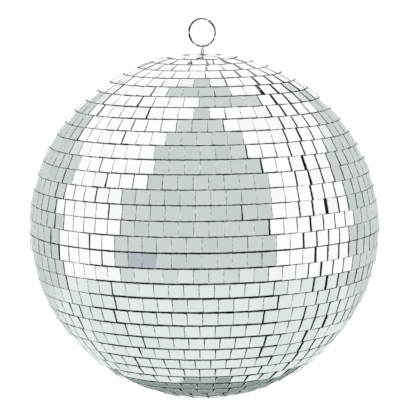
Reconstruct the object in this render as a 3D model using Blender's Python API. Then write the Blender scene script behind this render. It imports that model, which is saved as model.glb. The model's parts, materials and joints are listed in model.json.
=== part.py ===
"""Mirror ball: rings of square mirror tiles on a hollow two-part core, hung by a split ring.

The origin is the inside top of the split ring, where a hook holds it. The ring lies in the
XZ plane and the ball hangs below it with its poles on the Z axis.
"""
import math

import bmesh
import bpy
from mathutils import Matrix, Vector

# ---- driving dimensions, metres ----
BALL_RADIUS = 0.1524
POLAR_RATIO = 0.985
TILE = 0.0123
TILE_THICK = 0.002
TILE_JOINT = 0.00025
RING_GAP = 0.00043
RINGS_PER_HALF = 17

POLE_HOLE_RADIUS = 0.005
POLE_FACETS = 12

CORE_DEPTH = 0.0026
CORE_WALL = 0.0024
CORE_SEGMENTS = 48
CORE_STEPS = 9
CORE_SEAM = 0.0002
LIP_HEIGHT = 0.007
LIP_THICK = 0.0018
BOSS_RADIUS = 0.013
BOSS_THICK = 0.005
BOSS_BORE = 0.0035

EYELET_OUTER = 0.0032
EYELET_BORE = 0.0021
EYELET_FLANGE = 0.0045
EYELET_FLANGE_THICK = 0.0006

WASHER_RADIUS = 0.011
WASHER_HOLE = 0.0022
WASHER_THICK = 0.0012

RING_OUTER = 0.0125
RING_RADIAL = 0.0013
RING_AXIAL = 0.0009
RING_LAYER = 0.0006
RING_START = math.radians(24)
RING_LAP = math.radians(192)

LOOP_WIRE = 0.001
EYE_RADIUS = 0.0019
EYE_TURN = math.radians(20)
LEG_SPREAD = 0.00115
LEG_BEND = 0.0012
LEG_REACH = 0.007

CLEAR = 0.0003

# ---- heights ----
RING_INNER = RING_OUTER - RING_RADIAL
RING_MID = RING_OUTER - RING_RADIAL / 2
RING_CENTRE_Z = -RING_INNER
HINGE_Z = RING_CENTRE_Z - RING_MID
POLE_Z = HINGE_Z - 0.0068
CENTRE_Z = POLE_Z - BALL_RADIUS * POLAR_RATIO


def clear_scene():
    for obj in list(bpy.data.objects):
        bpy.data.objects.remove(obj, do_unlink=True)


def material(name, colour, metallic, roughness):
    mat = bpy.data.materials.new(name)
    mat.use_nodes = True
    shader = mat.node_tree.nodes["Principled BSDF"]
    shader.inputs["Base Color"].default_value = (*colour, 1.0)
    shader.inputs["Metallic"].default_value = metallic
    shader.inputs["Roughness"].default_value = roughness
    mat.diffuse_color = (*colour, 1.0)
    return mat


def finish(name, mesh, look, parent, smooth=False):
    obj = bpy.data.objects.new(name, mesh)
    bpy.context.scene.collection.objects.link(obj)
    obj.parent = parent
    mesh.materials.clear()
    mesh.materials.append(material(name, *look))
    for face in mesh.polygons:
        face.use_smooth = smooth
    return obj


def pivot(name, height, parent=None):
    empty = bpy.data.objects.new(name, None)
    bpy.context.scene.collection.objects.link(empty)
    empty.parent = parent
    below = 0.0
    while parent is not None:
        below += parent.location.z
        parent = parent.parent
    empty.location = (0, 0, height - below)
    return empty


def revolve(name, profile, segments, look, parent, closed=True, smooth=False):
    """Spin a (radius, height) outline about Z; an open outline starts or ends on the axis."""
    bm = bmesh.new()
    verts = [bm.verts.new((rho, 0, z)) for rho, z in profile]
    for first, second in zip(verts, verts[1:]):
        bm.edges.new((first, second))
    if closed:
        bm.edges.new((verts[-1], verts[0]))
    geom = bm.verts[:] + bm.edges[:]
    bmesh.ops.spin(bm, geom=geom, cent=(0, 0, 0), axis=(0, 0, 1),
                   angle=math.tau, steps=segments, use_merge=True)
    bmesh.ops.remove_doubles(bm, verts=bm.verts[:], dist=1e-6)
    bmesh.ops.recalc_face_normals(bm, faces=bm.faces[:])
    mesh = bpy.data.meshes.new(name)
    bm.to_mesh(mesh)
    bm.free()
    return finish(name, mesh, look, parent, smooth)


def wire(name, points, width, look, parent, flatten=1.0):
    """A capped wire along points; flatten squeezes its section along Y."""
    curve = bpy.data.curves.new(name + "_path", "CURVE")
    curve.dimensions = "3D"
    curve.bevel_depth = width / 2
    curve.bevel_resolution = 2
    curve.use_fill_caps = True
    spline = curve.splines.new("POLY")
    spline.points.add(len(points) - 1)
    for point, place in zip(spline.points, points):
        point.co = (place.x, place.y / flatten, place.z, 1)
    source = bpy.data.objects.new(name + "_path", curve)
    bpy.context.scene.collection.objects.link(source)
    mesh = bpy.data.meshes.new_from_object(source)
    bpy.data.objects.remove(source, do_unlink=True)
    mesh.transform(Matrix.Diagonal((1, flatten, 1, 1)))
    bm = bmesh.new()
    bm.from_mesh(mesh)
    bmesh.ops.remove_doubles(bm, verts=bm.verts[:], dist=1e-6)
    bmesh.ops.recalc_face_normals(bm, faces=bm.faces[:])
    bm.to_mesh(mesh)
    bm.free()
    mesh.name = name
    return finish(name, mesh, look, parent, smooth=True)


# ---- the ball's outline ----
def outline(angle, depth=0.0):
    """(radius, height) of the outline at a latitude angle, moved inwards by depth."""
    rho = BALL_RADIUS * math.cos(angle)
    z = BALL_RADIUS * POLAR_RATIO * math.sin(angle)
    normal = Vector((POLAR_RATIO * math.cos(angle), math.sin(angle))).normalized()
    return rho - depth * normal.x, z - depth * normal.y


def angle_at(length):
    """Latitude angle at a distance along the outline from the equator."""
    steps = 4000
    travelled = 0.0
    previous = Vector(outline(0))
    for index in range(1, steps + 1):
        angle = math.pi / 2 * index / steps
        current = Vector(outline(angle))
        travelled += (current - previous).length
        if travelled >= length:
            return angle
        previous = current
    return math.pi / 2


def tile_row(start):
    """Outline corners of a tile whose equator side lies at start along the outline."""
    angle = angle_at(start + TILE / 2)
    middle = Vector(outline(angle))
    normal = Vector((POLAR_RATIO * math.cos(angle), math.sin(angle))).normalized()
    along = Vector((-normal.y, normal.x))
    low = middle - along * TILE / 2
    high = middle + along * TILE / 2
    return low, high, high - normal * TILE_THICK, low - normal * TILE_THICK


def tiles_in(row):
    """Whole tiles that fit the pole side of a ring; the smallest ring's tiles are nipped."""
    radius = max(row[1].x, 1.6 * TILE)
    return math.floor(math.pi / math.atan((TILE + TILE_JOINT) / 2 / radius))


def corner_room(row):
    """How far the corners of a ring's tiles reach past the middle of their equator side."""
    low, high = row[:2]
    widening = low.x * (1 / math.cos(math.pi / tiles_in(row)) - 1)
    return widening * (low.x - high.x) / TILE


def tile_rows():
    """Each ring's tile outline, from the equator to the pole."""
    rows = []
    start = RING_GAP
    for _ in range(RINGS_PER_HALF):
        room = 0.0
        for _ in range(4):
            room = max(room, corner_room(tile_row(start + room)))
        rows.append(tile_row(start + room))
        start += room + TILE + RING_GAP
    return rows


def build_tiles(parent):
    mirror = ((0.80, 0.82, 0.84), 1.0, 0.06)
    rows = tile_rows()
    for index, row in enumerate(rows, start=1):
        count = tiles_in(row)
        widen = 1 / math.cos(math.pi / count)
        upper = [(corner.x * widen, corner.y) for corner in row]
        lower = [(rho, -z) for rho, z in upper]
        revolve(f"tile_ring_upper_{index:02d}", upper, count, mirror, parent)
        revolve(f"tile_ring_lower_{index:02d}", lower, count, mirror, parent)

    last_inner = rows[-1][2].x
    rim = last_inner - CLEAR
    top = BALL_RADIUS * POLAR_RATIO
    drop = rim ** 2 / (2 * BALL_RADIUS / POLAR_RATIO)
    hole = POLE_HOLE_RADIUS
    plate = [(hole, top), (rim, top - drop), (rim, top - drop - TILE_THICK), (hole, top - TILE_THICK)]
    revolve("pole_tiles_top", plate, POLE_FACETS, mirror, parent)
    cap = [(0, -top), (rim, drop - top), (rim, drop - top + TILE_THICK), (0, TILE_THICK - top)]
    revolve("pole_tiles_bottom", cap, POLE_FACETS, mirror, parent, closed=False)


def build_core(parent):
    plastic = ((0.10, 0.10, 0.11), 0.0, 0.6)
    inner_depth = CORE_DEPTH + CORE_WALL
    top = outline(math.pi / 2, CORE_DEPTH)[1]
    boss_angle = math.acos(BOSS_BORE / BALL_RADIUS)
    boss_edge = math.acos(BOSS_RADIUS / (BALL_RADIUS - inner_depth))
    angles = [boss_angle * i / CORE_STEPS for i in range(CORE_STEPS + 1)]
    outer = [outline(a, CORE_DEPTH) for a in angles]
    outer[0] = (outer[0][0], CORE_SEAM)
    outer[-1] = (BOSS_BORE, outer[-1][1])
    inner = [outline(boss_edge * i / CORE_STEPS, inner_depth) for i in range(CORE_STEPS + 1)]
    inner[0] = (inner[0][0], CORE_SEAM)
    boss_floor = top - BOSS_THICK
    boss = [(BOSS_BORE, boss_floor), (inner[-1][0], boss_floor)]
    upper = outer + boss + inner[::-1]
    revolve("core_upper_shell", upper, CORE_SEGMENTS, plastic, parent, smooth=False)

    angles = [math.pi / 2 * i / CORE_STEPS for i in range(CORE_STEPS + 1)]
    skin = [(rho, -z) for rho, z in (outline(a, CORE_DEPTH) for a in angles)]
    skin[0] = (skin[0][0], -CORE_SEAM)
    skin[-1] = (0, skin[-1][1])
    lip_outer = outline(0, inner_depth)[0] - CLEAR * 2
    lip_inner = lip_outer - LIP_THICK
    lining = [(rho, -z) for rho, z in (outline(a, inner_depth) for a in angles)]
    lining[-1] = (0, lining[-1][1])
    step_low = outline(0, inner_depth + LIP_THICK + CLEAR * 2)
    lip = [(lip_outer, -CORE_SEAM), (lip_outer, LIP_HEIGHT), (lip_inner, LIP_HEIGHT),
           (step_low[0], -LIP_HEIGHT)]
    lower = skin[::-1] + lip + lining[1:]
    revolve("core_lower_shell", lower, CORE_SEGMENTS, plastic, parent, closed=False)


def build_hanger_seat(parent):
    steel = ((0.55, 0.56, 0.58), 1.0, 0.3)
    seat = BALL_RADIUS * POLAR_RATIO - CORE_DEPTH + CLEAR
    boss_floor = BALL_RADIUS * POLAR_RATIO - CORE_DEPTH - BOSS_THICK
    sleeve = [(EYELET_BORE, seat + EYELET_FLANGE_THICK), (EYELET_FLANGE, seat + EYELET_FLANGE_THICK),
              (EYELET_FLANGE, seat), (EYELET_OUTER, seat), (EYELET_OUTER, boss_floor),
              (EYELET_BORE, boss_floor)]
    revolve("pole_eyelet", sleeve, 24, steel, parent, smooth=False)
    high = boss_floor - CLEAR
    low = high - WASHER_THICK
    disc = [(WASHER_HOLE, high), (WASHER_RADIUS, high), (WASHER_RADIUS, low), (WASHER_HOLE, low)]
    revolve("anchor_washer", disc, 24, steel, parent, smooth=False)
    return low


def loop_path(washer_low):
    """Half of the wire loop, from the top of its eye to one splayed end, hinge at the origin."""
    half = []
    for index in range(7):
        turn = math.pi / 2 * index / 6
        half.append((EYE_RADIUS * math.sin(turn), EYE_TURN, EYE_RADIUS * math.cos(turn)))
    straight_end = -0.0012
    base = POLE_Z - HINGE_Z + 0.0006
    for index in range(9):
        share = index / 8
        ease = share * share * (3 - 2 * share)
        height = straight_end + (base - straight_end) * share
        half.append((EYE_RADIUS + (LEG_SPREAD - EYE_RADIUS) * ease,
                     EYE_TURN + math.pi / 2 * ease, height))
    turned = EYE_TURN + math.pi / 2
    floor = washer_low + CENTRE_Z - HINGE_Z - CLEAR - LOOP_WIRE / 2
    bend_top = floor + LEG_BEND
    for index in range(5):
        turn = math.pi / 2 * index / 4
        half.append((LEG_SPREAD + LEG_BEND * (1 - math.cos(turn)), turned,
                     bend_top - LEG_BEND * math.sin(turn)))
    half.append((LEG_REACH, turned, floor))
    return half


def build_loop(parent, washer_low):
    steel = ((0.62, 0.62, 0.63), 1.0, 0.25)
    half = loop_path(washer_low)
    sides = []
    for sign in (-1, 1):
        side = [Vector((-sign * rho * math.sin(turn), sign * rho * math.cos(turn), z))
                for rho, turn, z in half]
        sides.append(side)
    points = sides[0][::-1] + sides[1][1:]
    wire("wire_loop", points, LOOP_WIRE, steel, parent)


def build_ring():
    steel = ((0.58, 0.58, 0.60), 1.0, 0.22)
    total = math.tau + RING_LAP
    steps = 56
    points = []
    for index in range(steps + 1):
        run = total * index / steps
        share = min(max((run - RING_LAP) / (math.tau - RING_LAP), 0), 1)
        ease = share * share * (3 - 2 * share)
        side = RING_LAYER * (2 * ease - 1)
        turn = RING_START + run
        points.append(Vector((RING_MID * math.cos(turn), side, RING_MID * math.sin(turn))))
    ring = wire("split_ring", points, RING_RADIAL, steel, None, RING_AXIAL / RING_RADIAL)
    ring.location = (0, 0, RING_CENTRE_Z)


def main():
    clear_scene()
    build_ring()
    hanger = pivot("hanger_pivot", HINGE_Z)
    ball = pivot("ball_pivot", CENTRE_Z, hanger)
    build_tiles(ball)
    build_core(ball)
    washer_low = build_hanger_seat(ball)
    build_loop(hanger, washer_low)


main()
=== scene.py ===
"""Looks of a hanging mirror ball: tiles, adhesive bed, pole tiles, split ring and wire loop."""
import json
import math

import bpy
import numpy as np
from mathutils import Matrix, Vector


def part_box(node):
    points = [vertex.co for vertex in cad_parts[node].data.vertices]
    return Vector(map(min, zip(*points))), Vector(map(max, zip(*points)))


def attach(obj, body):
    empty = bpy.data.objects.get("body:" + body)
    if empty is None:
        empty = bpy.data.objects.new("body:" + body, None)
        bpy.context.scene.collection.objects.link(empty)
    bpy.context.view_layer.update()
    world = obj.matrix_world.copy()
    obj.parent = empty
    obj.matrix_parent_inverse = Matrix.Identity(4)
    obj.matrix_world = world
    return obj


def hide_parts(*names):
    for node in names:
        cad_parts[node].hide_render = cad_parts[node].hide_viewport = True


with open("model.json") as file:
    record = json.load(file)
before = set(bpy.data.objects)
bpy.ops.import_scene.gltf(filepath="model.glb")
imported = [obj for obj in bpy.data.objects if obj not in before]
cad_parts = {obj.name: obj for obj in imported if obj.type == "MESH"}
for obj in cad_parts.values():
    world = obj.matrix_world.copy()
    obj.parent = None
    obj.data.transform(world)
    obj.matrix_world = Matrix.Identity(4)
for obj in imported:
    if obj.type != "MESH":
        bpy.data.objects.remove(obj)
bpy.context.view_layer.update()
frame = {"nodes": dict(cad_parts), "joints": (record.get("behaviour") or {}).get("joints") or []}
MM = 0.001

bl_info = {
    "name": "Mirror Ball",
    "version": (1, 0, 0),
    "blender": (4, 5, 0),
    "location": "View3D > Sidebar > Mirror Ball",
    "description": "Builds a tiled mirror ball with its hanger and a plain studio",
    "category": "Add Mesh",
}


# ---------------------------------------------------------------- sizes from the frame
def ball_outline():
    """Polar radius and centre height of the ball, read from the frame's pole tiles."""
    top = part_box("pole_tiles_top")[1].z
    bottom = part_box("pole_tiles_bottom")[0].z
    return (top - bottom) / 2, (top + bottom) / 2


POLAR_RADIUS, CENTRE_Z = ball_outline()
POLE_Z = CENTRE_Z + POLAR_RADIUS
RING_LOW, RING_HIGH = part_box("split_ring")
RING_RADIUS = (RING_HIGH.z - RING_LOW.z) / 2
RING_CENTRE_Z = (RING_HIGH.z + RING_LOW.z) / 2
HINGE = Vector(frame["joints"][0]["pos_m"])
# azimuth of the side where the hand-laid rows rise highest
FRONT = math.radians(-70)
# azimuth of the first tile of every row
ROW_START = math.radians(-124)
# seams that all rows share, in degrees from the first tile
SHARED_SEAMS = [22, 70, 94, 128, 157, 193, 226, 251, 290, 322]
# share of a row's spare arc that opens the strip ends; the rest loosens the joints
SEAM_SHARE = 0.27
# sides where the joints are loose, in degrees from FRONT
LOOSE_SIDE = (34, 76)
LESS_LOOSE_SIDE = (-86, -48)
# the side where some rows are laid closer, in degrees from FRONT, and how much taller tiles are
CLOSE_SIDE = (30, 70)
CLOSE_GROWTH = 0.2 * MM
CLOSE_ROWS = {"upper": 6, "lower": 2}
# most that half a tile's equator side may be widened, and how much of that each half uses
WIDEST_NIP = 1.4 * MM
NIP_SHARE = {"upper": 0.75, "lower": 0.15}
# how the front tiles' trim begins and ends for the first row, in degrees from FRONT
TRIMMED_SIDE = (-36, 24)
# turn of the four pole tiles about the axis, and how far they fall for each unit outwards
POLE_TURN = math.radians(31)
POLE_FALL = 0.05
# the bed rises towards the tile faces from this latitude, over this much more, and by this much
BED_RISES_AT = math.radians(50)
BED_RISES_OVER = math.radians(20)
BED_RISE = 1.35 * MM
BED_THICK = 0.9 * MM
# latitude above which the bed takes its pale copy, lit in the wide gaps, in place of the adhesive
# painted near black as shade
LIT_BED_FROM = math.radians(55)
# radius of the bed's opening at each pole
BED_OPENING = 5.2 * MM
# how far the loop's eye leans sideways on the ring
EYE_LEAN = 1.1 * MM
# strength of the light from the cards, and of the white that camera rays see
CARD_STRENGTH = 1.08
BACKDROP_STRENGTH = 1.05
# azimuth of the two darker tiles below the middle seam, in degrees from FRONT
DARK_TILES = -19.5
RINGS_PER_HALF = sum(name.startswith("tile_ring_upper") for name in frame["nodes"])


class BallSizes(bpy.types.PropertyGroup):
    """Sizes of the ball and its tiles."""

    radius: bpy.props.FloatProperty(
        name="Ball radius", description="Radius at the equator, over the tiles",
        default=152.4 * MM, unit="LENGTH")
    tile: bpy.props.FloatProperty(
        name="Tile side", description="Side of one square tile", default=12.3 * MM, unit="LENGTH")
    thick: bpy.props.FloatProperty(
        name="Tile thickness", description="Thickness of the tile glass", default=2.0 * MM,
        unit="LENGTH")
    average_joint: bpy.props.FloatProperty(
        name="Average joint", description="Joint between neighbours with the strip ends shared out",
        default=0.25 * MM, unit="LENGTH")
    joint: bpy.props.FloatProperty(
        name="Joint in a strip", description="Joint between two tiles of one strip",
        default=0.06 * MM, unit="LENGTH")
    row_gap: bpy.props.FloatProperty(
        name="Row gap", description="Least gap between two rows", default=0.43 * MM, unit="LENGTH")
    lower_cut: bpy.props.FloatProperty(
        name="Lower cut", description="How much shorter the lower rows' tiles are cut",
        default=0.7 * MM, unit="LENGTH")
    width_cut: bpy.props.FloatProperty(
        name="Width cut", description="How much narrower the tiles are than they are tall",
        default=0.14 * MM, unit="LENGTH")
    upper_cut: bpy.props.FloatProperty(
        name="Upper cut", description="How much shorter the upper tiles are cut at the front",
        default=0.4 * MM, unit="LENGTH")
    row_wave: bpy.props.FloatProperty(
        name="Row wave", description="How far the hand-laid rows rise and sink round the ball",
        default=1.1 * MM, unit="LENGTH")
    arris: bpy.props.FloatProperty(
        name="Arris", description="Width of the chipped edge round each tile face",
        default=0.34 * MM, unit="LENGTH")
    tile_tilt: bpy.props.FloatProperty(
        name="Tile tilt", description="How far one hand-laid tile leans", default=math.radians(0.4),
        subtype="ANGLE")
    strip_tilt: bpy.props.FloatProperty(
        name="Strip tilt", description="How far a strip of tiles leans", default=math.radians(0.75),
        subtype="ANGLE")
    pole_drop: bpy.props.FloatProperty(
        name="Pole drop", description="How far the pole tiles are sunk below the outline",
        default=0.15 * MM, unit="LENGTH")
    bed_depth: bpy.props.FloatProperty(
        name="Bed depth", description="How far the adhesive lies below the tile faces",
        default=1.8 * MM, unit="LENGTH")


class HangerSizes(bpy.types.PropertyGroup):
    """Sizes of the split ring and the wire loop."""

    ring_radial: bpy.props.FloatProperty(
        name="Ring wire width", description="Width of the ring's wire, outwards from its centre",
        default=1.15 * MM, unit="LENGTH")
    ring_axial: bpy.props.FloatProperty(
        name="Ring wire depth", description="Depth of one turn along the ring's axis",
        default=0.9 * MM, unit="LENGTH")
    ring_layer: bpy.props.FloatProperty(
        name="Layer offset", description="Distance of each turn's middle from the ring's plane",
        default=0.55 * MM, unit="LENGTH")
    ring_start: bpy.props.FloatProperty(
        name="Ring start", description="Angle at which the wire begins", default=math.radians(24),
        subtype="ANGLE")
    ring_lap: bpy.props.FloatProperty(
        name="Ring lap", description="Angle over which two turns lie side by side",
        default=math.radians(192), subtype="ANGLE")
    wire: bpy.props.FloatProperty(
        name="Loop wire", description="Diameter of the loop's wire", default=0.9 * MM,
        unit="LENGTH")
    eye_radius: bpy.props.FloatProperty(
        name="Eye radius", description="Radius of the loop's eye to the wire's middle",
        default=1.9 * MM, unit="LENGTH")
    eye_turn: bpy.props.FloatProperty(
        name="Eye turn", description="Turn of the eye's plane about the vertical",
        default=math.radians(20), subtype="ANGLE")
    leg_spread: bpy.props.FloatProperty(
        name="Leg spread", description="Distance of each leg's middle from the axis above the pole",
        default=0.75 * MM, unit="LENGTH")
    leg_bend: bpy.props.FloatProperty(
        name="Leg bend", description="Radius of the bend under the washer", default=1.2 * MM,
        unit="LENGTH")
    leg_reach: bpy.props.FloatProperty(
        name="Leg reach", description="How far each splayed end reaches out", default=7.0 * MM,
        unit="LENGTH")


class Finishes(bpy.types.PropertyGroup):
    """Colours of the finishes, as sRGB hex values."""

    silver: bpy.props.StringProperty(
        name="Silvering", description="Reflected colour of the mirror coating", default="F8F9F8")
    # near black: beyond the glass's own dark green, the cut edge paints the shade in the gaps
    # between tiles
    cut_edge: bpy.props.StringProperty(
        name="Cut edge", description="Colour of the cut glass edge", default="2C3532")
    # near black: the bed's colour also paints the shade in the narrow gaps between the tiles
    adhesive: bpy.props.StringProperty(
        name="Adhesive", description="Colour of the bed between the tiles", default="2A2E30")
    # dark, so the ring's colour paints the dark reflections its wire shows
    spring_steel: bpy.props.StringProperty(
        name="Spring steel", description="Colour of the split ring", default="5E5E5B")
    drawn_wire: bpy.props.StringProperty(
        name="Drawn wire", description="Colour of the wire loop", default="C6C6C6")
    plastic: bpy.props.StringProperty(
        name="Core plastic", description="Colour of the moulded core", default="2B2C2E")


class StudioSettings(bpy.types.PropertyGroup):
    """Placing of the camera and the floor."""

    azimuth: bpy.props.FloatProperty(
        name="Azimuth", description="Direction of the camera round the ball",
        default=math.radians(20), subtype="ANGLE")
    elevation: bpy.props.FloatProperty(
        name="Elevation", description="Height of the camera above the ball's middle",
        default=math.radians(8.85), subtype="ANGLE")
    roll: bpy.props.FloatProperty(
        name="Roll", description="Turn of the camera about its own axis",
        default=math.radians(0.65), subtype="ANGLE")
    radii_away: bpy.props.FloatProperty(
        name="Radii away", description="Distance of the camera in ball radii", default=12.0)
    lens: bpy.props.FloatProperty(
        name="Lens", description="Focal length for a 36 mm sensor", default=179.1)
    aim_up: bpy.props.FloatProperty(
        name="Aim up", description="Height of the aim above the ball's middle", default=13.6 * MM,
        unit="LENGTH")
    aim_right: bpy.props.FloatProperty(
        name="Aim right", description="Aim to the right of the ball's middle", default=0.85 * MM,
        unit="LENGTH")
    floor_drop: bpy.props.FloatProperty(
        name="Floor drop", description="Distance of the floor below the ball", default=2.6,
        unit="LENGTH")


# ---------------------------------------------------------------- materials
def linear(code, alpha=1.0):
    """Linear colour of an sRGB hex code: each channel goes through the sRGB transfer curve."""
    channels = np.array([int(code[i:i + 2], 16) / 255 for i in (0, 2, 4)])
    low = channels / 12.92
    high = ((channels + 0.055) / 1.055) ** 2.4
    return (*np.where(channels <= 0.04045, low, high), alpha)


def add_node(tree, kind, links=(), inputs=None, **settings):
    """Adds a node with its settings, input values and links from (output socket, input name)."""
    node = tree.nodes.new(kind)
    for name, value in settings.items():
        setattr(node, name, value)
    for name, value in (inputs or {}).items():
        node.inputs[name].default_value = value
    for socket, name in links:
        tree.links.new(socket, node.inputs[name])
    return node


def new_material(name, **sockets):
    """A Principled material with constants set on the shader's own sockets."""
    look = bpy.data.materials.new(name)
    look.use_nodes = True
    shader = look.node_tree.nodes["Principled BSDF"]
    for socket, value in sockets.items():
        shader.inputs[socket.replace("_", " ")].default_value = value
    return look, look.node_tree, shader


def silvered_glass(colours):
    """Silvered float glass, cut into tiles: sharp reflections, each tile a shade apart."""
    look, tree, shader = new_material("silvered_float_glass", Metallic=1.0, Roughness=0.03)
    tone = add_node(tree, "ShaderNodeAttribute", attribute_name="tone")
    shade = add_node(tree, "ShaderNodeValToRGB", [(tone.outputs["Fac"], "Fac")])
    shade.color_ramp.elements[0].color = linear("D9DBE1")
    shade.color_ramp.elements[1].color = linear(colours.silver)
    shade.color_ramp.elements.new(0.3).color = linear("E6E9EA")
    tree.links.new(shade.outputs["Color"], shader.inputs["Base Color"])
    place = add_node(tree, "ShaderNodeTexCoord")
    # float glass waves gently over about 9 mm
    wave = add_node(tree, "ShaderNodeTexNoise", [(place.outputs["Object"], "Vector")],
                    {"Scale": 1 / (9 * MM), "Detail": 1.0})
    bump = add_node(tree, "ShaderNodeBump", [(wave.outputs["Fac"], "Height")],
                    {"Strength": 0.03, "Distance": 0.4 * MM})
    tree.links.new(bump.outputs["Normal"], shader.inputs["Normal"])
    return look


def cut_glass_edge(colours):
    """Snapped edge of float glass: dark green-grey, painted darker still as shade in the gaps
    between tiles, with fine chips that catch the light.
    """
    look, tree, shader = new_material("snapped_glass_edge", Roughness=0.22, IOR=1.52)
    place = add_node(tree, "ShaderNodeTexCoord")
    # chips about 0.6 mm long
    chips = add_node(tree, "ShaderNodeTexNoise", [(place.outputs["Object"], "Vector")],
                     {"Scale": 1 / (0.6 * MM), "Detail": 2.0})
    shade = add_node(tree, "ShaderNodeValToRGB", [(chips.outputs["Fac"], "Fac")])
    shade.color_ramp.elements[0].position = 0.35
    shade.color_ramp.elements[0].color = linear("0E1211")
    shade.color_ramp.elements[1].position = 0.65
    shade.color_ramp.elements[1].color = linear(colours.cut_edge)
    tree.links.new(shade.outputs["Color"], shader.inputs["Base Color"])
    bump = add_node(tree, "ShaderNodeBump", [(chips.outputs["Fac"], "Height")],
                    {"Strength": 0.4, "Distance": 0.05 * MM})
    tree.links.new(bump.outputs["Normal"], shader.inputs["Normal"])
    return look


def bright_arris():
    """Arris of a snapped tile: a narrow clear bevel over the silvering, its white base colour a
    painted glint along every tile edge.
    """
    look, tree, shader = new_material("glass_arris_painted_glint", Metallic=0.6, Roughness=0.35)
    place = add_node(tree, "ShaderNodeTexCoord")
    # the painted glint breaks where the snapped line is uneven, over about 3 mm
    glint_breaks = add_node(tree, "ShaderNodeTexNoise", [(place.outputs["Object"], "Vector")],
                     {"Scale": 1 / (3 * MM), "Detail": 2.0})
    shade = add_node(tree, "ShaderNodeValToRGB", [(glint_breaks.outputs["Fac"], "Fac")])
    shade.color_ramp.elements[0].position = 0.4
    shade.color_ramp.elements[0].color = linear("A9B4B1")
    shade.color_ramp.elements[1].position = 0.6
    shade.color_ramp.elements[1].color = linear("FFFFFF")
    tree.links.new(shade.outputs["Color"], shader.inputs["Base Color"])
    return look


def lumpy_paste(name, dark, light):
    """Paste of the adhesive bed in a given pair of colours: matt, and uneven where it squeezed up
    between the tiles.
    """
    look, tree, shader = new_material(name, Roughness=0.75)
    place = add_node(tree, "ShaderNodeTexCoord")
    # squeezed up in lumps of about 2 mm
    lumps = add_node(tree, "ShaderNodeTexNoise", [(place.outputs["Object"], "Vector")],
                     {"Scale": 1 / (2 * MM), "Detail": 3.0})
    shade = add_node(tree, "ShaderNodeValToRGB", [(lumps.outputs["Fac"], "Fac")])
    shade.color_ramp.elements[0].color = linear(dark)
    shade.color_ramp.elements[1].color = linear(light)
    tree.links.new(shade.outputs["Color"], shader.inputs["Base Color"])
    bump = add_node(tree, "ShaderNodeBump", [(lumps.outputs["Fac"], "Height")],
                    {"Strength": 0.5, "Distance": 0.3 * MM})
    tree.links.new(bump.outputs["Normal"], shader.inputs["Normal"])
    return look


def bright_steel(name, code, darker_patch, roughness, grain):
    """Bright steel: metallic, with noise patches of the given size that set its roughness and its
    colour, from darker through the given colour to near-white painted glints.
    """
    look, tree, shader = new_material(name, Metallic=1.0)
    place = add_node(tree, "ShaderNodeTexCoord")
    patch_noise = add_node(tree, "ShaderNodeTexNoise", [(place.outputs["Object"], "Vector")],
                     {"Scale": 1 / grain, "Detail": 1.0})
    gloss = add_node(tree, "ShaderNodeMapRange", [(patch_noise.outputs["Fac"], "Value")],
                     {"To Min": roughness * 0.7, "To Max": roughness * 1.4})
    tree.links.new(gloss.outputs["Result"], shader.inputs["Roughness"])
    shade = add_node(tree, "ShaderNodeValToRGB", [(patch_noise.outputs["Fac"], "Fac")])
    shade.color_ramp.elements[0].position = 0.48
    shade.color_ramp.elements[0].color = linear(darker_patch)
    shade.color_ramp.elements[1].position = 0.56
    shade.color_ramp.elements[1].color = linear(code)
    # near-white spots: painted glints on the steel
    shade.color_ramp.elements.new(0.64).color = linear("F8F8F4")
    tree.links.new(shade.outputs["Color"], shader.inputs["Base Color"])
    return look


def moulded_plastic(colours):
    """Injection-moulded ABS: matt and dark, with a fine spark-eroded grain."""
    look, tree, shader = new_material("moulded_abs", Roughness=0.6, IOR=1.53)
    shader.inputs["Base Color"].default_value = linear(colours.plastic)
    place = add_node(tree, "ShaderNodeTexCoord")
    # spark-eroded grain, drawn at 1 mm because the real 0.1 mm is too fine to show
    grain = add_node(tree, "ShaderNodeTexNoise", [(place.outputs["Object"], "Vector")],
                     {"Scale": 1 / (1 * MM), "Detail": 2.0})
    bump = add_node(tree, "ShaderNodeBump", [(grain.outputs["Fac"], "Height")],
                    {"Strength": 0.2, "Distance": 0.05 * MM})
    tree.links.new(bump.outputs["Normal"], shader.inputs["Normal"])
    return look


# ---------------------------------------------------------------- surfaces
def piece(name, verts, faces, looks, body, replaced=(), smooth=False):
    """A mesh piece that rides on a body and stands for the CAD nodes it replaces."""
    mesh = bpy.data.meshes.new(name)
    mesh.from_pydata(verts.tolist(), [], faces)
    mesh.polygons.foreach_set("use_smooth", np.full(len(mesh.polygons), smooth))
    for look in looks:
        mesh.materials.append(look)
    obj = bpy.data.objects.new(name, mesh)
    bpy.context.scene.collection.objects.link(obj)
    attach(obj, body)
    if replaced:
        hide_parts(*replaced)
    return obj


def outline(angle, sizes, depth=0.0):
    """Point of the ball's outline: (a cos t, b sin t), moved inwards along its normal by depth."""
    ratio = POLAR_RADIUS / sizes.radius
    point = np.stack([sizes.radius * np.cos(angle), POLAR_RADIUS * np.sin(angle)], -1)
    normal = np.stack([ratio * np.cos(angle), np.sin(angle)], -1)
    normal /= np.linalg.norm(normal, axis=-1, keepdims=True)
    return point - depth * normal, normal


class Row:
    """One row of tiles in the outline plane, its equator side at a distance along the outline."""

    def __init__(self, start, sizes, table):
        angle = np.interp(start + sizes.tile / 2, *table)
        self.middle, self.normal = outline(angle, sizes)
        self.along = np.array([-self.normal[1], self.normal[0]])
        self.low = self.middle - self.along * sizes.tile / 2
        self.high = self.middle + self.along * sizes.tile / 2
        radius = max(self.high[0], 1.6 * sizes.tile)
        half = (sizes.tile + sizes.average_joint) / 2
        self.count = math.floor(math.pi / math.atan(half / radius))
        widening = self.low[0] * (1 / math.cos(math.pi / self.count) - 1)
        self.corner_room = widening * (self.low[0] - self.high[0]) / sizes.tile


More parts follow.
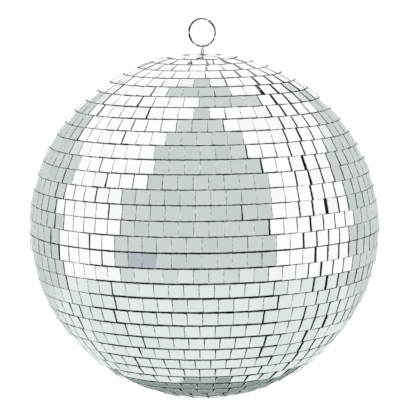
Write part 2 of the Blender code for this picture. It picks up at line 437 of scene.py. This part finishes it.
def rows_of_tiles(sizes):
    """Rows from the equator to the pole: each starts a gap and a corner's reach after the last."""
    angles = np.linspace(0, math.pi / 2, 4001)
    points = outline(angles, sizes)[0]
    steps = np.linalg.norm(np.diff(points, axis=0), axis=1)
    table = (np.concatenate([[0], np.cumsum(steps)]), angles)
    rows = []
    start = sizes.row_gap
    for _ in range(RINGS_PER_HALF):
        room = 0.0
        for _ in range(4):
            room = max(room, Row(start + room, sizes, table).corner_room)
        rows.append(Row(start + room, sizes, table))
        start += room + sizes.tile + sizes.row_gap
    return rows


def strips(count, seams, rng):
    """Strip number of each tile: strips end at the shared seams, give or take a tile."""
    slip = rng.choice([-1, 0, 0, 1], size=len(seams))
    ends = np.round(seams / math.tau * count).astype(int) + slip
    ends = np.unique(ends[(ends > 2) & (ends < count - 2)])
    return np.searchsorted(ends, np.arange(count), side="right")


def sector(angle, low, high):
    """1 between two azimuths in degrees and 0 outside, easing over 6 degrees at either end."""
    degrees = np.degrees(np.angle(np.exp(1j * angle)))
    return smooth_step((degrees - low) / 6 + 0.5) * smooth_step((high - degrees) / 6 + 0.5)


def tile_prisms(centre, across, along, normal, widths, length, thick, arris):
    """Tiles as arrays: a face inset by the arris, a shoulder just below it, and a square base.

    Every corner is centre + across * w + along * l + normal * depth, for four corners in
    three layers, so each tile has 12 vertices and 10 faces.
    """
    low_half, high_half = widths
    side = np.stack([-low_half, low_half, high_half, -high_half], -1)
    rise = np.array([-1, -1, 1, 1]) * length[:, None] / 2
    inset = arris * np.array([[1, -1, -1, 1], [1, 1, -1, -1]])
    layers = []
    for cut, depth in ((1, 0.0), (0, -0.6 * arris), (0, -thick)):
        w = side + cut * inset[0]
        h = rise + cut * inset[1]
        layer = (centre[:, None] + across[:, None] * w[..., None]
                 + along[:, None] * h[..., None] + normal[:, None] * depth)
        layers.append(layer)
    verts = np.concatenate(layers, 1).reshape(-1, 3)
    ring = [(0, 1), (1, 2), (2, 3), (3, 0)]
    pattern = [(0, 1, 2, 3)]
    pattern += [(4 + a, 4 + b, b, a) for a, b in ring]
    pattern += [(8 + a, 8 + b, 4 + b, 4 + a) for a, b in ring]
    pattern += [(11, 10, 9, 8)]
    faces = (np.array(pattern)[None] + 12 * np.arange(len(centre))[:, None, None]).reshape(-1, 4)
    return verts, faces


def turn_about(vector, axis, angle):
    """Vectors turned a small angle about unit axes, by the first two terms of Rodrigues' rule."""
    turned = vector + np.cross(axis, vector) * angle[:, None]
    return turned / np.linalg.norm(turned, axis=1, keepdims=True)


def build_row(row, number, half, sizes, looks):
    """One row of separate tiles round the axis, laid in strips by hand.

    A tile's azimuth is its number times the pitch, plus the spare arc shared among strip ends.
    """
    upper = half == "upper"
    sign = 1 if upper else -1
    rng = np.random.default_rng(1000 * (1 + upper) + number)
    index = np.arange(row.count)
    seams = np.radians(SHARED_SEAMS)
    strip = strips(row.count, seams if upper else math.tau - seams, rng)
    total = strip.max() + 1
    widest = (sizes.tile - sizes.width_cut) / 2
    least = 2 * math.atan((widest + sizes.joint / 2) / row.high[0])
    least = min(least, math.tau / row.count)
    spare = math.tau - row.count * least
    start = ROW_START + rng.normal(0, 0.02)
    # part of the spare arc opens the strip ends; the rest loosens joints, most of all on two sides
    ends = rng.uniform(0.1, 1.2, total)
    ends *= SEAM_SHARE * spare / ends.sum()
    roughly = start + sign * (index / row.count * math.tau) - FRONT
    loose = 0.03 + rng.uniform(0, 0.3, total)[strip] ** 2 + sector(roughly, *LOOSE_SIDE)
    loose += 0.6 * sector(roughly, *LESS_LOOSE_SIDE)
    loose *= (1 - SEAM_SHARE) * spare / loose.sum()
    azimuth = start + sign * (index * least + np.cumsum(loose) + np.cumsum(ends)[strip])

    radial = np.stack([np.cos(azimuth), np.sin(azimuth), np.zeros(row.count)], 1)
    across = sign * np.stack([-np.sin(azimuth), np.cos(azimuth), np.zeros(row.count)], 1)
    up = np.array([0, 0, sign])
    normal = radial * row.normal[0] + up * row.normal[1]
    along = radial * row.along[0] + up * row.along[1]
    centre = radial * row.middle[0] + up * row.middle[1]

    lean = rng.normal(0, sizes.strip_tilt, total)[strip] + rng.normal(0, sizes.tile_tilt, row.count)
    nod = rng.normal(0, sizes.strip_tilt, total)[strip] + rng.normal(0, sizes.tile_tilt, row.count)
    swing = rng.normal(0, math.radians(0.5), total)[strip]
    swing += rng.normal(0, math.radians(0.3), row.count)
    normal = turn_about(normal, along, lean)
    across = np.cross(along, normal)
    across /= np.linalg.norm(across, axis=1, keepdims=True)
    normal = turn_about(normal, across, nod)
    across = turn_about(across, normal, swing)
    along = np.cross(normal, across)

    slip = rng.normal(0, 0.05 * MM, total)[strip] + rng.normal(0, 0.04 * MM, row.count)
    wave = sizes.row_wave * np.cos(2 * (azimuth - FRONT)) * row.middle[0] / sizes.radius * sign
    centre = centre + along * (slip + wave)[:, None]
    centre[:, 2] += CENTRE_Z

    # the side nearer the equator is nipped a little wider, so the gaps between tiles stay narrow
    wide = min(row.low[0] * math.tan(least / 2), widest + WIDEST_NIP)
    nip = NIP_SHARE[half] * max(wide - widest, 0)
    low_half = np.full(row.count, widest + nip - sizes.joint / 2)
    room = row.high[0] * math.tan(math.pi / row.count) - sizes.joint / 2
    high_half = np.full(row.count, min(widest, room))
    # tiles trimmed short where the front rows open up
    trim = sector(azimuth - FRONT, TRIMMED_SIDE[0] - number, TRIMMED_SIDE[1] + number / 2)
    lower_cut = sizes.lower_cut * (1 + 0.05 * number)
    length = sizes.tile - trim * (sizes.upper_cut if upper else lower_cut)
    if number <= CLOSE_ROWS[half]:
        length += sector(azimuth - FRONT, *CLOSE_SIDE) * CLOSE_GROWTH
    verts, faces = tile_prisms(centre, across, along, normal, (low_half, high_half),
                               length, sizes.thick, sizes.arris)
    node = f"tile_ring_{half}_{number:02d}"
    obj = piece(f"mirror_row_{half}_{number:02d}", verts, faces.tolist(), looks, "ball",
                (node,))
    tone = np.clip(rng.normal(0.85, 0.12, row.count), 0.35, 1)
    if not upper and number == 1:
        turned = np.angle(np.exp(1j * (azimuth - FRONT - math.radians(DARK_TILES))))
        tone[np.argsort(np.abs(turned))[:2]] = 0.0
    paint_tiles(obj, tone, 10, 4)
    return obj


def paint_tiles(obj, tone, faces_each, sides):
    """Gives each tile its shade: silvering on its face, then the arris, then the cut edge."""
    mesh = obj.data
    attribute = mesh.attributes.new("tone", "FLOAT", "FACE")
    attribute.data.foreach_set("value", np.repeat(tone, faces_each).astype(np.float32))
    slots = np.full(faces_each, 2, dtype=np.int32)
    slots[0] = 0
    slots[1:1 + sides] = 1
    mesh.polygons.foreach_set("material_index", np.tile(slots, len(tone)))


def pole_outline(hole):
    """Corner points of one quarter tile: two straight sides, a nipped corner, a nipped hole."""
    edge = 0.25 * MM
    far = 12.4 * MM
    nip = 8.6 * MM
    points = [(far, edge), (far, nip), (nip, far), (edge, far)]
    if hole:
        bend = np.linspace(math.pi / 2 - edge / hole, edge / hole, 5)
        points += [(hole * math.cos(t), hole * math.sin(t)) for t in bend]
    else:
        points.append((edge, edge))
    return np.array(points)


def build_pole(side, sizes, looks):
    """Four nipped tiles round a pole, each leaning outwards along its own diagonal.

    The height falls with distance along the diagonal; each tile is an inset face, a shoulder
    and a base joined by quads.
    """
    top = side == "top"
    sign = 1 if top else -1
    corners = pole_outline(4.9 * MM if top else 0.0)
    number = len(corners)
    middle = corners.mean(0)
    inset = middle + (corners - middle) * (1 - sizes.arris / (5 * MM))
    verts, faces = [], []
    for quarter in range(4):
        turn = quarter * math.pi / 2 + POLE_TURN
        spin = np.array([[math.cos(turn), math.sin(turn)], [-math.sin(turn), math.cos(turn)]])
        for points, depth in ((inset, 0), (corners, 0.6 * sizes.arris), (corners, sizes.thick)):
            reach = points.sum(1) / math.sqrt(2)
            fall = POLE_FALL * reach + depth + sizes.pole_drop
            flat = points @ spin
            height = CENTRE_Z + sign * (POLAR_RADIUS - fall)
            verts.append(np.column_stack([flat[:, 0], sign * flat[:, 1], height]))
        base = quarter * 3 * number
        first = np.arange(number)
        following = np.roll(first, -1)
        faces.append((base + first).tolist())
        for layer in (0, 1):
            quads = np.stack([first + number, following + number, following, first], 1)
            faces += (quads + base + layer * number).tolist()
        faces.append((base + 2 * number + first[::-1]).tolist())
    obj = piece(f"pole_group_{side}", np.concatenate(verts), faces, looks, "ball",
                (f"pole_tiles_{side}",))
    paint_tiles(obj, np.array([0.8, 0.95, 0.7, 0.9]), 2 * number + 2, number)
    return obj


def build_bed(sizes, looks):
    """Skin of adhesive: the outline at bed depth and again deeper, turned about the axis.

    Its closed section leaves a small round opening at each pole for the eyelet.
    """
    edge = math.acos(BED_OPENING / sizes.radius)
    angles = np.linspace(-edge, edge, 73)
    # the bed comes up between the tiles near the top pole, where the gaps are wide
    raised = smooth_step((angles - BED_RISES_AT) / BED_RISES_OVER)
    surface, facing = outline(angles, sizes)
    depth = (sizes.bed_depth - raised * BED_RISE)[:, None]
    outer = surface - facing * depth
    inner = (surface - facing * (depth + BED_THICK))[::-1]
    section = np.concatenate([outer, inner])
    turns = np.linspace(0, math.tau, 128, endpoint=False)
    rho, height = section[:, 0], section[:, 1] + CENTRE_Z
    verts = np.stack([np.outer(np.cos(turns), rho), np.outer(np.sin(turns), rho),
                      np.broadcast_to(height, (len(turns), len(rho)))], -1).reshape(-1, 3)
    faces = grid_faces(len(turns), len(rho), True, True)
    obj = piece("adhesive_bed", verts, faces[:, ::-1].tolist(), looks, "ball",
                smooth=True)
    # near the top pole the wide gaps get the bed's pale copy, shown lit there; elsewhere the
    # near-black copy paints the shade in the narrow gaps
    level = np.concatenate([angles, angles[::-1]])[faces % len(section)].min(1)
    obj.data.polygons.foreach_set("material_index", (level > LIT_BED_FROM).astype(np.int32))
    return obj


def grid_faces(rows, columns, wrap_rows, wrap_columns):
    """Quads between neighbours of a grid, joined end to end where it wraps."""
    r = np.arange(rows if wrap_rows else rows - 1)
    c = np.arange(columns if wrap_columns else columns - 1)
    r, c = np.meshgrid(r, c, indexing="ij")
    r2, c2 = (r + 1) % rows, (c + 1) % columns
    quads = np.stack([r * columns + c, r * columns + c2, r2 * columns + c2, r2 * columns + c], -1)
    return quads.reshape(-1, 4)


def sweep(name, path, section, guide, look, body, node):
    """Carries a closed section along a path; guide is the direction its first axis keeps near."""
    tangent = np.gradient(path, axis=0)
    tangent /= np.linalg.norm(tangent, axis=1, keepdims=True)
    first = guide - tangent * (guide * tangent).sum(1, keepdims=True)
    first /= np.linalg.norm(first, axis=1, keepdims=True)
    second = np.cross(tangent, first)
    verts = (path[:, None] + first[:, None] * section[None, :, :1]
             + second[:, None] * section[None, :, 1:]).reshape(-1, 3)
    sides = len(section)
    faces = grid_faces(len(path), sides, False, True).tolist()
    faces.append(list(range(sides)))
    faces.append(list(range((len(path) - 1) * sides, len(path) * sides))[::-1])
    faces = [face[::-1] for face in faces]
    obj = piece(name, verts, faces, [look], body, (node,), smooth=True)
    # the wire is round and its two cut ends are flat
    rounded = np.ones(len(faces), dtype=bool)
    rounded[-2:] = False
    obj.data.polygons.foreach_set("use_smooth", rounded)
    return obj


def rounded_section(width, depth, power, sides):
    """Superellipse: cosine and sine raised to 2 / power, which squares the wire's corners."""
    turn = np.linspace(0, math.tau, sides, endpoint=False)
    x = np.sign(np.cos(turn)) * np.abs(np.cos(turn)) ** (2 / power) * width / 2
    y = np.sign(np.sin(turn)) * np.abs(np.sin(turn)) ** (2 / power) * depth / 2
    return np.stack([x, y], 1)


def smooth_step(share):
    """Eases a share from 0 to 1 with level ends: 3 s^2 - 2 s^3."""
    share = np.clip(share, 0, 1)
    return share * share * (3 - 2 * share)


def build_split_ring(sizes, look):
    """Spring wire round a circle for one turn and a lap, easing from one layer to the other."""
    total = math.tau + sizes.ring_lap
    run = np.linspace(0, total, 360)
    share = (run - sizes.ring_lap) / (math.tau - sizes.ring_lap)
    side = sizes.ring_layer * (2 * smooth_step(share) - 1)
    turn = sizes.ring_start + run
    middle = RING_RADIUS - sizes.ring_radial / 2
    outwards = np.stack([np.cos(turn), np.zeros_like(turn), np.sin(turn)], 1)
    path = outwards * middle
    path[:, 1] = side
    path[:, 2] += RING_CENTRE_Z
    section = rounded_section(sizes.ring_radial, sizes.ring_axial, 3.2, 16)
    return sweep("spring_wire_ring", path, section, outwards, look, "split_ring",
                 "split_ring")


def build_wire_loop(sizes, look):
    """A hairpin: half a circle round the ring's wire, legs that turn a quarter on their way down,
    and bent ends. Radius, turn and height are worked out along one leg and mirrored."""
    arc = np.linspace(0, math.pi / 2, 14)
    eye = np.stack([sizes.eye_radius * np.sin(arc), np.full_like(arc, sizes.eye_turn),
                    sizes.eye_radius * np.cos(arc)], 1)
    share = np.linspace(0, 1, 30)[1:]
    ease = smooth_step(share)
    straight_end = -1.2 * MM
    base = POLE_Z - HINGE.z + 0.6 * MM
    # the legs close again where they enter the pole
    spread = sizes.leg_spread * (1 - 0.36 * smooth_step((share - 0.86) / 0.14))
    leg = np.stack([sizes.eye_radius + (spread - sizes.eye_radius) * ease,
                    sizes.eye_turn + math.pi / 2 * ease,
                    straight_end + (base - straight_end) * share], 1)
    turned = sizes.eye_turn + math.pi / 2
    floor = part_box("wire_loop")[0].z + sizes.wire / 2 - HINGE.z
    curl = np.linspace(0, math.pi / 2, 10)
    bend = np.stack([spread[-1] + sizes.leg_bend * (1 - np.cos(curl)),
                     np.full_like(curl, turned),
                     floor + sizes.leg_bend * (1 - np.sin(curl))], 1)
    tip = np.array([[sizes.leg_reach, turned, floor]])
    half = np.concatenate([eye, leg, bend, tip])
    flat = np.stack([-np.sin(half[:, 1]), np.cos(half[:, 1])], 1) * half[:, :1]
    one = np.column_stack([flat, half[:, 2]])
    other = np.column_stack([-flat, half[:, 2]])
    path = np.concatenate([one[::-1], other[1:]])
    # the eye leans sideways on the ring
    path[:, 0] += EYE_LEAN * smooth_step((path[:, 2] + 5 * MM) / (6.5 * MM))
    path += np.array(HINGE)
    guide = np.cross(np.gradient(path, axis=0), np.array([0.31, 0.22, 0.92]))
    section = rounded_section(sizes.wire, sizes.wire, 2.0, 14)
    return sweep("twisted_wire_loop", path, section, guide, look, "hanger",
                 "wire_loop")


# ---------------------------------------------------------------- studio
# the four plain tones of the studio's cards
WHITE_CARD = "FEFFFE"
PALE_CARD = "E2E8E8"
GREY_CARD = "CCD2D2"
DARK_CARD = "8C9898"

# Tiers of cards from the floor up: the rise in degrees where a tier begins, how many degrees it
# takes to begin, and where each of its cards begins, in degrees from the camera's azimuth.
STUDIO_TIERS = [
    # a pale floor, with a dark board lying behind the ball
    (-64, 10, [(-180, DARK_CARD), (-165, PALE_CARD), (165, DARK_CARD)]),
    # walls: grey behind the camera and at the back corners, a soft box at each side
    (-24, 8, [(-180, WHITE_CARD), (-162, GREY_CARD), (-110, WHITE_CARD), (-60, GREY_CARD),
              (46, WHITE_CARD), (110, GREY_CARD), (162, WHITE_CARD)]),
    # above the corners only the wall behind the camera is grey
    (27, 6, [(-180, WHITE_CARD), (-47, GREY_CARD), (46, WHITE_CARD)]),
    # a grey ceiling with a light panel to each side
    (60, 3, [(-180, GREY_CARD), (-145, WHITE_CARD), (-47, GREY_CARD), (46, WHITE_CARD),
             (120, GREY_CARD)]),
]


def studio_world(azimuth, strength):
    """A few plain cards in tiers round the ball; camera rays see plain white."""
    world = bpy.data.worlds.new("soft_studio")
    bpy.context.scene.world = world
    world.use_nodes = True
    tree = world.node_tree
    tree.nodes.clear()
    place = add_node(tree, "ShaderNodeTexCoord")
    facing = add_node(tree, "ShaderNodeVectorRotate", [(place.outputs["Generated"], "Vector")],
                      {"Angle": -azimuth}, rotation_type="Z_AXIS")
    split = add_node(tree, "ShaderNodeSeparateXYZ", [(facing.outputs["Vector"], "Vector")])
    flip = add_node(tree, "ShaderNodeMath", [(split.outputs["Y"], 0)], {1: -1.0},
                    operation="MULTIPLY")
    turn = add_node(tree, "ShaderNodeMath", [(split.outputs["X"], 0), (flip.outputs[0], 1)],
                    operation="ARCTAN2")
    around = add_node(tree, "ShaderNodeMapRange", [(turn.outputs[0], "Value")],
                      {"From Min": -math.pi, "From Max": math.pi})
    rise = add_node(tree, "ShaderNodeMath", [(split.outputs["Z"], 0)], operation="ARCSINE")
    underfoot = add_node(tree, "ShaderNodeRGB")
    underfoot.outputs[0].default_value = linear(PALE_CARD)
    colour = underfoot.outputs[0]
    for begins, softness, cards in STUDIO_TIERS:
        ramp = add_node(tree, "ShaderNodeValToRGB", [(around.outputs["Result"], "Fac")])
        ramp.color_ramp.interpolation = "CONSTANT"
        first, last = ramp.color_ramp.elements
        first.color = linear(cards[0][1])
        last.position, last.color = (cards[-1][0] + 180) / 360, linear(cards[-1][1])
        for degrees, code in cards[1:-1]:
            ramp.color_ramp.elements.new((degrees + 180) / 360).color = linear(code)
        share = add_node(tree, "ShaderNodeMapRange", [(rise.outputs[0], "Value")],
                         {"From Min": math.radians(begins - softness / 2),
                          "From Max": math.radians(begins + softness / 2)},
                         interpolation_type="SMOOTHSTEP")
        mix = add_node(tree, "ShaderNodeMix", [(share.outputs["Result"], "Factor")],
                       data_type="RGBA")
        tree.links.new(colour, mix.inputs["A"])
        tree.links.new(ramp.outputs["Color"], mix.inputs["B"])
        colour = mix.outputs["Result"]
    lit = add_node(tree, "ShaderNodeBackground", [(colour, "Color")], {"Strength": strength})
    plain = add_node(tree, "ShaderNodeBackground", (),
                     {"Color": (1, 1, 1, 1), "Strength": BACKDROP_STRENGTH})
    ray = add_node(tree, "ShaderNodeLightPath")
    both = add_node(tree, "ShaderNodeMixShader", [(ray.outputs["Is Camera Ray"], "Fac")])
    tree.links.new(lit.outputs[0], both.inputs[1])
    tree.links.new(plain.outputs[0], both.inputs[2])
    add_node(tree, "ShaderNodeOutputWorld", [(both.outputs[0], "Surface")])


def studio_floor(drop):
    """A shallow dish far below the ball: its height rises with the square of the distance."""
    radii = np.linspace(0.02, 7, 24)
    turns = np.linspace(0, math.tau, 64, endpoint=False)
    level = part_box("pole_tiles_bottom")[0].z - drop
    verts = np.stack([np.outer(np.cos(turns), radii), np.outer(np.sin(turns), radii),
                      np.broadcast_to(level + 0.004 * radii ** 2, (64, 24))], -1).reshape(-1, 3)
    faces = grid_faces(64, 24, True, False)[:, ::-1].tolist()
    faces.append((np.arange(64) * 24).tolist())
    mesh = bpy.data.meshes.new("studio_floor")
    mesh.from_pydata(verts.tolist(), [], faces)
    floor = bpy.data.objects.new("studio_floor", mesh)
    bpy.context.scene.collection.objects.link(floor)
    look, _, shader = new_material("matt_white_paper", Roughness=0.9)
    shader.inputs["Base Color"].default_value = linear("F4F5F5")
    shader.inputs["Emission Color"].default_value = (1, 1, 1, 1)
    shader.inputs["Emission Strength"].default_value = 0.3
    mesh.materials.append(look)
    floor.visible_glossy = False
    return floor


def studio_camera(settings, radius):
    """Camera on a sphere round the ball, aimed a little above its middle, with a long lens."""
    azimuth, elevation = settings.azimuth, settings.elevation
    middle = Vector((0, 0, CENTRE_Z))
    away = Vector((math.sin(azimuth) * math.cos(elevation),
                   -math.cos(azimuth) * math.cos(elevation), math.sin(elevation)))
    right = Vector((math.cos(azimuth), math.sin(azimuth), 0))
    up = right.cross(-away)
    data = bpy.data.cameras.new("studio_camera")
    data.lens = settings.lens
    data.sensor_width = 36
    camera = bpy.data.objects.new("studio_camera", data)
    bpy.context.scene.collection.objects.link(camera)
    camera.location = middle + away * settings.radii_away * radius
    target = middle + up * settings.aim_up + right * settings.aim_right
    facing = (target - camera.location).to_track_quat("-Z", "Y").to_matrix().to_4x4()
    roll = Matrix.Rotation(-settings.roll, 4, "Z")
    camera.matrix_world = Matrix.Translation(camera.location) @ facing @ roll
    bpy.context.scene.camera = camera


# ---------------------------------------------------------------- operators
class MIRRORBALL_OT_rows(bpy.types.Operator):
    """Builds every row of mirror tiles"""

    bl_idname = "mirrorball.rows"
    bl_label = "Mirror rows"

    def execute(self, context):
        sizes = context.scene.ball_sizes
        colours = context.scene.ball_finishes
        looks = [silvered_glass(colours), bright_arris(), cut_glass_edge(colours)]
        for number, row in enumerate(rows_of_tiles(sizes), start=1):
            for half in ("upper", "lower"):
                build_row(row, number, half, sizes, looks)
        return {"FINISHED"}


class MIRRORBALL_OT_poles(bpy.types.Operator):
    """Builds the nipped tiles at both poles"""

    bl_idname = "mirrorball.poles"
    bl_label = "Pole tiles"

    def execute(self, context):
        # the arris material's white base colour paints glints along the tile edges
        looks = [bpy.data.materials[name] for name in
                 ("silvered_float_glass", "glass_arris_painted_glint", "snapped_glass_edge")]
        for side in ("top", "bottom"):
            build_pole(side, context.scene.ball_sizes, looks)
        return {"FINISHED"}


class MIRRORBALL_OT_bed(bpy.types.Operator):
    """Builds the adhesive bed that shows between the tiles"""

    bl_idname = "mirrorball.bed"
    bl_label = "Adhesive bed"

    def execute(self, context):
        # one paste in two copies: near black as painted shade in the narrow gaps, and pale as lit
        # in the wide gaps near the top pole
        glue = lumpy_paste("adhesive_painted_shade", "141719", context.scene.ball_finishes.adhesive)
        lit_bed = lumpy_paste("bed_lit_copy", "8A9092", "C2C8C9")
        build_bed(context.scene.ball_sizes, [glue, lit_bed])
        return {"FINISHED"}


class MIRRORBALL_OT_hanger(bpy.types.Operator):
    """Builds the split ring and the twisted wire loop"""

    bl_idname = "mirrorball.hanger"
    bl_label = "Ring and loop"

    def execute(self, context):
        sizes = context.scene.hanger_sizes
        colours = context.scene.ball_finishes
        # coiled spring steel, painted near black in patches about 4 mm long as dark reflections,
        # with near-white painted glints between
        ring = bright_steel("plated_spring_steel", colours.spring_steel, "0C0C0D", 0.14, 4 * MM)
        build_split_ring(sizes, ring)
        # soft drawn wire, darker in patches about 3 mm long, with near-white painted glints
        wire = bright_steel("drawn_steel_wire", colours.drawn_wire, "8A8A8B", 0.2, 3 * MM)
        build_wire_loop(sizes, wire)
        return {"FINISHED"}


class MIRRORBALL_OT_inside(bpy.types.Operator):
    """Gives the core, the eyelet and the washer their finishes"""

    bl_idname = "mirrorball.inside"
    bl_label = "Inside pieces"

    def execute(self, context):
        colours = context.scene.ball_finishes
        # pressed and plated sheet steel: satin, darker in patches about 1 mm apart, with near-white
        # painted glints
        looks = {"core_upper_shell": moulded_plastic(colours),
                 "pole_eyelet": bright_steel("plated_sheet_steel", "B4B6B8", "9A9C9E", 0.3,
                                             1 * MM)}
        looks["core_lower_shell"] = looks["core_upper_shell"]
        looks["anchor_washer"] = looks["pole_eyelet"]
        for node, look in looks.items():
            mesh = frame["nodes"][node].data
            mesh.materials.clear()
            mesh.materials.append(look)
        return {"FINISHED"}


class MIRRORBALL_OT_stage(bpy.types.Operator):
    """Builds the floor, the soft light and the camera"""

    bl_idname = "mirrorball.stage"
    bl_label = "Studio"

    def execute(self, context):
        settings = context.scene.studio_settings
        studio_world(settings.azimuth, CARD_STRENGTH)
        studio_floor(settings.floor_drop)
        studio_camera(settings, context.scene.ball_sizes.radius)
        context.scene.view_settings.view_transform = "Standard"
        return {"FINISHED"}


OPERATORS = (MIRRORBALL_OT_rows, MIRRORBALL_OT_poles, MIRRORBALL_OT_bed, MIRRORBALL_OT_hanger,
             MIRRORBALL_OT_inside, MIRRORBALL_OT_stage)


class MIRRORBALL_PT_panel(bpy.types.Panel):
    """Lists the sizes, finishes and building steps of the mirror ball"""

    bl_idname = "MIRRORBALL_PT_panel"
    bl_label = "Mirror Ball"
    bl_space_type = "VIEW_3D"
    bl_region_type = "UI"
    bl_category = "Mirror Ball"

    def draw(self, context):
        for group in ("ball_sizes", "hanger_sizes", "ball_finishes", "studio_settings"):
            settings = getattr(context.scene, group)
            for name in settings.__annotations__:
                self.layout.prop(settings, name)
        for operator in OPERATORS:
            self.layout.operator(operator.bl_idname)


GROUPS = {"ball_sizes": BallSizes, "hanger_sizes": HangerSizes, "ball_finishes": Finishes,
          "studio_settings": StudioSettings}


def register():
    for cls in (*GROUPS.values(), *OPERATORS, MIRRORBALL_PT_panel):
        bpy.utils.register_class(cls)
    for name, cls in GROUPS.items():
        setattr(bpy.types.Scene, name, bpy.props.PointerProperty(type=cls))


def unregister():
    for name in GROUPS:
        delattr(bpy.types.Scene, name)
    for cls in reversed((*GROUPS.values(), *OPERATORS, MIRRORBALL_PT_panel)):
        bpy.utils.unregister_class(cls)


def main():
    register()
    bpy.ops.mirrorball.rows()
    bpy.ops.mirrorball.poles()
    bpy.ops.mirrorball.bed()
    bpy.ops.mirrorball.hanger()
    bpy.ops.mirrorball.inside()
    bpy.ops.mirrorball.stage()


if __name__ == "__main__":
    main()
